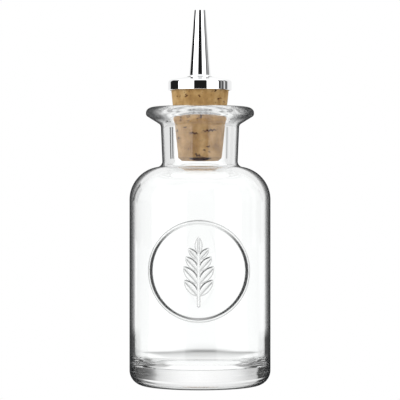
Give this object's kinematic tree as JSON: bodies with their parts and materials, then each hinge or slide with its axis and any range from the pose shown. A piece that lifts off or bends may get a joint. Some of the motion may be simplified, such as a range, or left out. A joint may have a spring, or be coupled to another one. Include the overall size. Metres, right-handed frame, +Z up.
{
  "type": "bitters bottle",
  "caption": "Round clear glass dasher bottle with a flared lip, a raised round emblem and a cork stopper that carries a slim chrome spout.",
  "frame": {"origin": "centre of the base, at the height of the surface that the bottle stands on", "axes": "+Z up through the bottle and the spout, -Y out of the raised emblem on the front, +X to the right as seen from the front"},
  "size_m": [0.051, 0.0514, 0.1357],
  "materials": {
    "clear_glass": "clear polished",
    "natural_cork": "sanded natural cork",
    "polished_chrome": "mirror polished",
    "plain_steel": "as turned",
    "soft_seal": "matte"
  },
  "bodies": {
    "bottle": {"glass_bottle": "clear_glass"},
    "stopper": {"cork_stopper": "natural_cork", "cap": "polished_chrome", "spout": "polished_chrome", "shank_tube": "plain_steel", "sealing_washer": "soft_seal"}
  },
  "joints": [
    {"name": "stopper_pull", "type": "slide", "parent": "bottle", "child": "stopper", "axis": [0, 0, 1], "range_m": [0, 0.03]}
  ]
}
